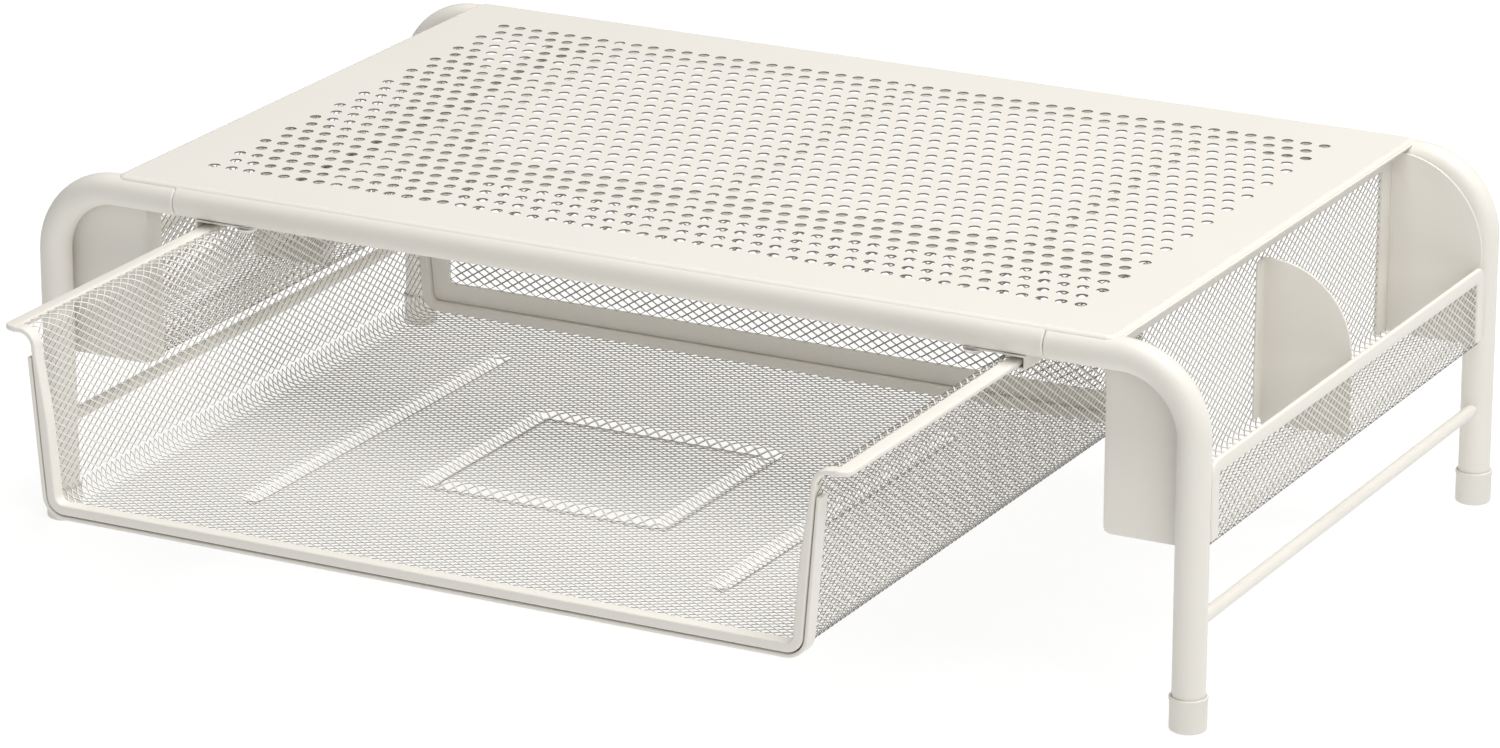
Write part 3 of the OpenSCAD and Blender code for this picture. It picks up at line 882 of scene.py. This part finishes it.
def pocket_divider(sizes):
    """A blade with a round top and a tab bent forwards along the inner wall."""
    low, high = node_box("pocket_right_divider")
    y0, y1 = low[1] - MIDDLE_Y, high[1] - MIDDLE_Y
    r, thick = sizes.blade_round, sizes.blade
    blade = np.concatenate(
        [
            arc(low[0] + 3, low[2] + 3, 3, 180, 270, 6),
            [[high[0], low[2]]],
            arc(high[0] - r, high[2] - r, r, 0, 90, 40),
            [[low[0], high[2]]],
        ]
    )
    end = y1 - 0.4
    tab = np.concatenate(
        [
            [[y0, low[2] + 3], [end, low[2] + 3], [end, high[2]]],
            arc(y0 + 3, high[2] - 3, 3, 90, 180, 8),
        ]
    )
    return joined(
        facing_plate(blade, thick, 0.35, y1 - thick), across_plate(tab, thick, 0.35, low[0])
    )


class RISER_OT_pockets(bpy.types.Operator):
    """Makes the two side pockets: mesh, strip frames, rims, end plates and dividers"""

    bl_idname = "riser.pockets"
    bl_label = "Side pockets"

    def execute(self, context):
        mesh = context.scene.riser_mesh
        sizes = context.scene.riser_pocket
        m_low, m_high = node_box("pocket_right_mesh")
        f_low, f_high = node_box("pocket_right_wall_frame")
        r_low, r_high = node_box("pocket_right_rim")
        p_low, p_high = node_box("pocket_right_front_plate")
        half = m_high[1] - MIDDLE_Y
        x0, z0 = m_low[0] + 0.3, m_low[2] + 0.3
        x1 = m_high[0] - 0.3
        bend = sizes.bend
        line = Line(
            np.concatenate(
                [
                    [[x0, f_high[2] - 4]],
                    arc(x0 + bend, z0 + bend, bend, 180, 270, 8),
                    arc(x1 - bend, z0 + bend, bend, 270, 360, 8),
                    [[x1, r_high[2] - 3]],
                ]
            )
        )
        shape, cut = bent_mesh(mesh, line, (0.0, line.length), (-half, half), True)[0]
        foot, inner, top = p_low[2] + 0.6, half - sizes.strip, f_high[2]
        bar = top - sizes.strip
        wall_frame = across_plate(
            [[-half, foot], [-inner, foot], [-inner, bar], [inner, bar], [inner, foot],
             [half, foot], [half, top], [-half, top]],
            f_high[0] - f_low[0], 0.35, f_low[0],
        )
        r, post, low, top = sizes.corner, half - sizes.post, r_low[2], r_high[2]
        rim = across_plate(
            np.concatenate(
                [
                    [[-half, low], [-post, low]],
                    arc(-post + 1.5, top - sizes.rail - 1.5, 1.5, 180, 90, 4),
                    arc(post - 1.5, top - sizes.rail - 1.5, 1.5, 90, 0, 4),
                    [[post, low], [half, low]],
                    arc(half - r, top - r, r, 0, 90, 10),
                    arc(-half + r, top - r, r, 90, 180, 10),
                ]
            ),
            r_high[0] - r_low[0], 0.8, r_low[0],
        )
        r = sizes.plate_round
        end_outline = np.concatenate(
            [
                arc(p_low[0] + 3, p_low[2] + 3, 3, 180, 270, 6),
                arc(p_high[0] - 3, p_low[2] + 3, 3, 270, 360, 6),
                arc(p_high[0] - r, p_high[2] - r, r, 0, 90, 40),
                [[p_low[0], p_high[2]]],
            ]
        )
        front, thick = p_low[1] - MIDDLE_Y, p_high[1] - p_low[1]
        end_front = facing_plate(end_outline, thick, 0.35, front)
        end_rear = facing_plate(end_outline, thick, 0.35, -front - thick)
        divider = pocket_divider(sizes)
        for hand in ("left", "right"):
            turn = mirrored if hand == "left" else (lambda s: s)
            head = f"pocket_{hand}_"
            add_piece(head + "expanded", turn(shape), "stand", [head + "mesh"], "mesh_coat",
                      smooth=0, tidy=False, cut=cut)
            for name, node, part in (
                ("wall_strips", "wall_frame", wall_frame),
                ("rim_rail", "rim", rim),
                ("front_end", "front_plate", end_front),
                ("rear_end", "rear_plate", end_rear),
                ("blade", "divider", divider),
            ):
                add_piece(head + name, turn(part), "stand", [head + node], "powder_coat")
        return {"FINISHED"}


# ---------- slides and screws ----------


class RISER_OT_slides(bpy.types.Operator):
    """Makes the drawer slides and the rail screws"""

    bl_idname = "riser.slides"
    bl_label = "Slides and screws"

    def execute(self, context):
        low, high = node_box("slide_right")
        t = 0.8
        bottom, top = low[2], high[2]
        web, lip = high[0], high[0] - 7.0
        section = rounded(
            [[lip, bottom], [web, bottom], [web, top], [lip, top], [lip, top - t],
             [web - t, top - t], [web - t, bottom + t], [lip, bottom + t]],
            0.35,
        )
        y0, y1 = low[1] - MIDDLE_Y, high[1] - MIDDLE_Y - t
        channel = straight([0, y0, 0], [0, y1, 0], [1, 0, 0], [0, 0, 1], section)
        stop = facing_plate(block(lip, bottom, web, top), t, 0.25, y1)
        tab_y, tab_half = LEG_Y - 2, 4.4
        tabs = []
        for y in (-tab_y, tab_y):
            outline = block(low[0], y - tab_half, lip + 1, y + tab_half)
            outline = rounded(outline, [4.2, 0.3, 0.3, 4.2], 6)
            tabs.append(
                plate(outline, t, 0.2, [0, 0, top - t], [1, 0, 0], [0, 1, 0], [0, 0, 1])
            )
        slide = joined(channel, stop, *tabs)
        s_low, s_high = node_box("rail_screws")
        head, shank, length = 4.15, 2.0, 6.0
        screw_x = s_high[0] - head
        dome = [[0.01, 0.0], [1.2, 0.08], [2.3, 0.34], [3.2, 0.8], [3.85, 1.4], [head, 2.1],
                [head, 2.3], [shank, 2.3], [shank, length], [0.01, length]]
        for hand, sx in (("left", -1), ("right", 1)):
            part = slide if sx > 0 else mirrored(slide)
            add_piece("slide_channel_" + hand, part, "stand", ["slide_" + hand], "powder_coat")
        screws = [
            turned(dome, [x, y, s_low[2]], 32)
            for x in (-screw_x, screw_x)
            for y in (-LEG_Y, LEG_Y)
        ]
        add_piece("rail_screw_heads", joined(*screws), "stand", ["rail_screws"], "screw_steel")
        return {"FINISHED"}


# ---------- drawer ----------


def tray_line(d, floor_z, flange_z, top=None, tip=None):
    """The outer face of the drawer section: floor, corner arc, sloping side, and either
    straight up to top or round the flare and out to tip. Mirrored to both sides."""
    slope = d.slope
    cz = floor_z + d.corner
    cx = d.half + d.corner * math.tan(slope) - d.corner / math.cos(slope)
    half = arc(cx, cz, d.corner, -90, -math.degrees(slope), 12)
    if top is not None:
        half = np.concatenate([half, [[d.half + (top - floor_z) * math.tan(slope), top]]])
    else:
        fz = flange_z - d.outer - d.sheet - d.flare
        fx = d.half + (fz - floor_z) * math.tan(slope) + d.flare / math.cos(slope)
        half = np.concatenate(
            [half, arc(fx, fz, d.flare, 180 - math.degrees(slope), 90, 12), [[tip, fz + d.flare]]]
        )
    return np.concatenate([half[::-1] * [-1, 1], half])


def dense(points, step=4.0):
    """The same polyline with points at most a step apart on its straight runs."""
    p = np.asarray(points, float)
    out = [p[:1]]
    for a, b in zip(p[:-1], p[1:]):
        n = max(1, int(np.linalg.norm(b - a) / step))
        out.append(a + (b - a) * np.linspace(0, 1, n + 1)[1:, None])
    return np.concatenate(out)


def strip(points, a0, a1, y0, y1, soft, ends=None):
    """A rounded rectangle, from a0 to a1 inside the section line and y0 to y1 deep,
    carried along the line. ends scales its thickness along the way."""
    line = Line(points)
    thick = np.full(len(line.points), a1 - a0) if ends is None else ends(line.points) - a0
    corner = np.concatenate(
        [
            arc(soft, y0 + soft, soft, 180, 270, 4),
            arc(-soft, y0 + soft, soft, 270, 360, 4),
            arc(-soft, y1 - soft, soft, 0, 90, 4),
            arc(soft, y1 - soft, soft, 90, 180, 4),
        ]
    )
    far = np.concatenate([np.zeros(5), np.ones(10), np.zeros(5)])
    depth = a0 + corner[None, :, 0] + far[None] * thick[:, None]
    x = line.points[:, None, 0] + depth * line.left[:, None, 0]
    z = line.points[:, None, 1] + depth * line.left[:, None, 1]
    y = np.broadcast_to(corner[None, :, 1], x.shape)
    return skin(np.stack([x, y, z], -1))


def groove_depth(groove, x, y):
    """Depth of the pressed floor at (x, y): a smooth dip, full at the centre line of a
    groove and gone at its half width. Two grooves run front to rear and one runs round
    a rectangle."""
    start, end = DRAWER_FRONT + groove.start, DRAWER_FRONT + groove.end
    past_end = np.maximum(0, np.maximum(start - y, y - end))
    to_side = np.hypot(np.abs(x) - groove.side, past_end)
    bx = np.abs(x) - groove.box_x
    by = np.abs(y - DRAWER_FRONT - groove.box_middle) - groove.box_y
    outside = np.hypot(np.maximum(bx, 0), np.maximum(by, 0))
    to_box = np.abs(outside + np.minimum(np.maximum(bx, by), 0))
    share = np.clip(np.minimum(to_side, to_box) / groove.half, 0, 1)
    return groove.depth * 0.5 * (1 + np.cos(np.pi * share))


class RISER_OT_drawer(bpy.types.Operator):
    """Makes the drawer: mesh tray, flanges, front rims and rear panel"""

    bl_idname = "riser.drawer"
    bl_label = "Drawer"

    def execute(self, context):
        mesh = context.scene.riser_mesh
        groove = context.scene.riser_groove
        d = context.scene.riser_drawer
        y0, y1 = DRAWER_FRONT, DRAWER_REAR
        floor_z = node_box("drawer_front_outer_rim")[0][2]
        flange_low, flange_high = node_box("drawer_flange_right")
        flange_z = flange_low[2]
        inside = d.outer + d.sheet
        tip = node_box("drawer_mesh")[1][0]
        base = Line(tray_line(d, floor_z, flange_z + d.rise, tip=tip))
        centre = Line(base.points + base.left * (d.outer + d.sheet / 2))
        level = np.nonzero(centre.points[:, 1] < floor_z + d.corner)[0]
        turn_l, turn_r = centre.at[level[0]], centre.at[level[-1]]
        depth = (y0 + 1.5, y1 - 0.5)

        def dip(x, y):
            return groove_depth(groove, x, y)

        sheets = bent_mesh(mesh, centre, (0.0, turn_l), depth, True)
        sheets += bent_mesh(mesh, centre, (turn_r, centre.length), depth, True)
        sheets += bent_mesh(mesh, centre, (turn_l, turn_r), depth, False, 2, dip)
        names = ("left", "right", "floor_left", "floor_right")
        for name, (shape, cut) in zip(names, sheets):
            nodes = ["drawer_mesh"] if name == "floor_left" else []
            add_piece("drawer_expanded_" + name, shape, "drawer", nodes, "mesh_coat",
                      smooth=0, tidy=False, cut=cut)
        # front rims
        lip_tip = flange_high[0] - d.flange_corner - 0.2
        wide = dense(tray_line(d, floor_z, flange_z + 0.05, tip=lip_tip))

        def thinner(points):
            """Thickness eases from the inner rim's to the flange's above the corner."""
            t = np.clip((points[:, 1] - 100) / 25, 0, 1)
            return inside + d.inner + (d.flange - 0.1 - d.inner) * t

        add_piece("drawer_inner_lip",
                  strip(wide, inside, inside + d.inner, y0, y0 + 5.8, 0.7, thinner),
                  "drawer", ["drawer_front_inner_rim"], "powder_coat")
        rim_top = node_box("drawer_front_outer_rim")[1][2]
        low_line = dense(tray_line(d, floor_z, flange_z, top=rim_top))
        add_piece("drawer_outer_lip", strip(low_line, 0, d.outer, y0 + 0.2, y0 + 7.0, 0.55),
                  "drawer", ["drawer_front_outer_rim"], "powder_coat")
        # flanges
        x0, x1, r = flange_low[0], flange_high[0], d.flange_corner
        outline = np.concatenate(
            [[[x0, y0 + 0.1]], arc(x1 - r, y0 + r + 0.1, r, -90, 0, 8), [[x1, y1], [x0, y1]]]
        )
        bar = plate(outline, d.flange, 0.7, [0, 0, flange_z], [1, 0, 0], [0, 1, 0], [0, 0, 1])
        for hand, part in (("left", mirrored(bar)), ("right", bar)):
            add_piece("drawer_side_flange_" + hand, part, "drawer",
                      ["drawer_flange_" + hand], "powder_coat")
        # rear panel
        rear_low, rear_high = node_box("drawer_rear_rim")
        rear_line = dense(tray_line(d, floor_z, flange_z, top=rear_high[2]))
        add_piece("drawer_rear_band", strip(rear_line, inside, inside + d.inner,
                                            rear_low[1] - MIDDLE_Y, y1, 0.6),
                  "drawer", ["drawer_rear_rim"], "powder_coat")
        frame_low, frame_high = node_box("drawer_rear_frame")
        edge = Line(tray_line(d, floor_z, flange_z, top=frame_high[2]))
        outline = edge.points + edge.left * (inside + d.inner + 0.6)
        mesh_low, mesh_high = node_box("drawer_rear_mesh")
        fy0, fy1 = frame_low[1] - MIDDLE_Y, frame_high[1] - MIDDLE_Y
        hole = rounded(block(mesh_low[0], mesh_low[2], mesh_high[0], mesh_high[2]), 1.5, 4)
        add_piece("drawer_rear_strips", window(outline, hole, fy0, fy1), "drawer",
                  ["drawer_rear_frame"], "powder_coat")
        my = (mesh_low[1] + mesh_high[1]) / 2 - MIDDLE_Y
        mz = (mesh_low[2] + mesh_high[2]) / 2
        columns, la = spread(mesh_high[0] - mesh_low[0], mesh.long_way)
        rows, sb = spread(mesh_high[2] - mesh_low[2], mesh.short_way)
        v, faces, cut = diamonds(columns, rows, la, sb, mesh.rear_strand, mesh.thick)
        place = np.stack([v[:, 0], my - v[:, 2], mz + v[:, 1]], 1)
        # painted shade: the rear panel, in the shade under the top, gets a large share of the dark
        # colour on all its strands
        cut = leaning(place, faces, cut, 0, 0.4, 0.75)
        add_piece("drawer_rear_expanded", (place, faces.tolist()), "drawer",
                  ["drawer_rear_mesh"], "mesh_coat", smooth=0, tidy=False, cut=cut)
        return {"FINISHED"}


def window(outline, hole, y0, y1):
    """A plate with one opening: both loops are read along the same rays from the
    opening's middle, and quads join them on both faces and through the thickness."""
    middle = hole.mean(0)
    stretch = np.ptp(hole, axis=0) / 2

    def around(loop):
        """Angle of each point about the middle, once the opening is drawn square."""
        q = (loop - middle) / stretch
        return np.arctan2(q[:, 1], q[:, 0])

    angles = np.unique(np.round(np.concatenate([around(outline), around(hole)]), 6))
    ray = np.stack([np.cos(angles), np.sin(angles)], 1) * stretch

    def meet(loop):
        """Where each ray crosses the loop: p + t (q - p) on the edge that spans it."""
        a = around(loop)
        order = np.argsort(a)
        a, loop = a[order], loop[order]
        a = np.concatenate([a[-1:] - 2 * np.pi, a, a[:1] + 2 * np.pi])
        loop = np.concatenate([loop[-1:], loop, loop[:1]])
        k = np.clip(np.searchsorted(a, angles, side="right") - 1, 0, len(a) - 2)
        p, edge = loop[k], loop[k + 1] - loop[k]
        off = middle - p
        cross = edge[:, 0] * ray[:, 1] - edge[:, 1] * ray[:, 0]
        cross = np.where(np.abs(cross) < 1e-12, 1e-12, cross)
        t = (off[:, 0] * ray[:, 1] - off[:, 1] * ray[:, 0]) / cross
        return p + edge * np.clip(t, 0, 1)[:, None]

    outer, inner = meet(outline), meet(hole)
    rings = [
        np.stack([loop[:, 0], np.full(len(loop), y), loop[:, 1]], 1)
        for loop, y in ((outer, y0), (inner, y0), (inner, y1), (outer, y1))
    ]
    return skin(np.stack(rings), ring=True)


# ---------- stage ----------


WHITE = (1.0, 1.0, 1.0)
GREY = (0.22, 0.22, 0.22)
WARM = (1.0, 0.99, 0.97)


def lamp(name, place, target, width, depth, power):
    """A soft rectangular light at place that faces target."""
    data = bpy.data.lights.new(name, "AREA")
    data.shape = "RECTANGLE"
    data.size, data.size_y = width, depth
    data.energy = power
    data.color = WARM
    made = bpy.data.objects.new(name, data)
    bpy.context.scene.collection.objects.link(made)
    made.location = place
    made.rotation_mode = "QUATERNION"
    made.rotation_quaternion = (Vector(target) - Vector(place)).to_track_quat("-Z", "Y")
    return made


class RISER_OT_stage(bpy.types.Operator):
    """Makes the pale floor, the soft lights and the camera"""

    bl_idname = "riser.stage"
    bl_label = "Floor, lights and camera"

    def execute(self, context):
        scene = context.scene
        stage = scene.riser_stage
        # the floor's glow rises to white a few metres away, where the lamps don't reach
        f = Finish("studio floor")
        away = f.node("ShaderNodeVectorMath", {"operation": "LENGTH"}, {0: f.place()}, "Value")
        share = f.node(
            "ShaderNodeMapRange", values={"Value": away, "From Min": 0.8, "From Max": 3.0}
        )
        f.set(Base_Color=(*GREY, 1.0), Roughness=0.9, Specular_IOR_Level=0.1,
              Emission_Color=f.mix(share, (stage.floor,) * 3, WHITE), Emission_Strength=1.0)
        mesh = bpy.data.meshes.new("floor")
        square = np.c_[block(-30.0, -30.0, 30.0, 30.0), np.zeros(4)]
        mesh.from_pydata(square.tolist(), [], [[0, 1, 2, 3]])
        mesh.materials.append(f.material)
        floor = bpy.data.objects.new("floor", mesh)
        scene.collection.objects.link(floor)
        # the sky lights the stand faintly and is white where the camera sees it
        world = bpy.data.worlds.new("studio")
        world.use_nodes = True
        tree = world.node_tree
        sky = tree.nodes["Background"].inputs
        sky["Color"].default_value = (*WHITE, 1.0)
        seen = Wire(tree, tree.nodes.new("ShaderNodeLightPath").outputs["Is Camera Ray"])
        level = seen * (1.0 - stage.sky) + stage.sky
        tree.links.new(level.socket, sky["Strength"])
        scene.world = world
        lamp("overhead", (0.7, 0.15, 2.4), (0, 0, 0), 2.4, 2.0, stage.key)
        front = lamp("front", (2.4, -2.2, 1.3), (0, 0, 0.1), 1.6, 1.2, stage.fill)
        front.visible_glossy = False
        data = bpy.data.cameras.new("view")
        data.sensor_width = 36.0
        data.lens = stage.lens
        data.clip_start, data.clip_end = 0.1, 100.0
        camera = bpy.data.objects.new("view", data)
        scene.collection.objects.link(camera)
        az, el = stage.azimuth, stage.elevation
        ahead = Vector((-math.sin(az) * math.cos(el), math.cos(az) * math.cos(el), -math.sin(el)))
        turn = ahead.to_track_quat("-Z", "Y").to_matrix()
        turn = turn @ Matrix.Rotation(stage.roll, 3, "Z")
        camera.location = Vector(stage.place) + Vector((0, MIDDLE_Y * MM, 0))
        camera.rotation_mode = "QUATERNION"
        camera.rotation_quaternion = turn.to_quaternion()
        scene.camera = camera
        scene.view_settings.view_transform = "Standard"
        scene.view_settings.look = "None"
        return {"FINISHED"}


# ---------- add-on ----------

STEPS = ("stage", "top", "legs", "pockets", "slides", "drawer")
GROUPS = {
    "riser_top": TopSizes,
    "riser_legs": LegSizes,
    "riser_mesh": MeshSizes,
    "riser_groove": GrooveSizes,
    "riser_pocket": PocketSizes,
    "riser_drawer": DrawerSizes,
    "riser_finishes": Finishes,
    "riser_stage": StageSizes,
}


class RISER_PT_panel(bpy.types.Panel):
    """Lists the steps that build the stand"""

    bl_label = "Monitor riser stand"
    bl_space_type = "VIEW_3D"
    bl_region_type = "UI"
    bl_category = "Riser"

    def draw(self, context):
        for step in STEPS:
            self.layout.operator("riser." + step)
        for group in GROUPS:
            box = self.layout.box()
            owner = getattr(context.scene, group)
            for key in owner.__annotations__:
                box.prop(owner, key)


CLASSES = (
    *GROUPS.values(),
    RISER_OT_stage,
    RISER_OT_top,
    RISER_OT_legs,
    RISER_OT_pockets,
    RISER_OT_slides,
    RISER_OT_drawer,
    RISER_PT_panel,
)


def register():
    for kind in CLASSES:
        bpy.utils.register_class(kind)
    for name, kind in GROUPS.items():
        setattr(bpy.types.Scene, name, PointerProperty(type=kind))


def unregister():
    for name in GROUPS:
        delattr(bpy.types.Scene, name)
    for kind in reversed(CLASSES):
        bpy.utils.unregister_class(kind)


def main():
    register()
    for step in STEPS:
        getattr(bpy.ops.riser, step)()


if __name__ == "__main__":
    main()
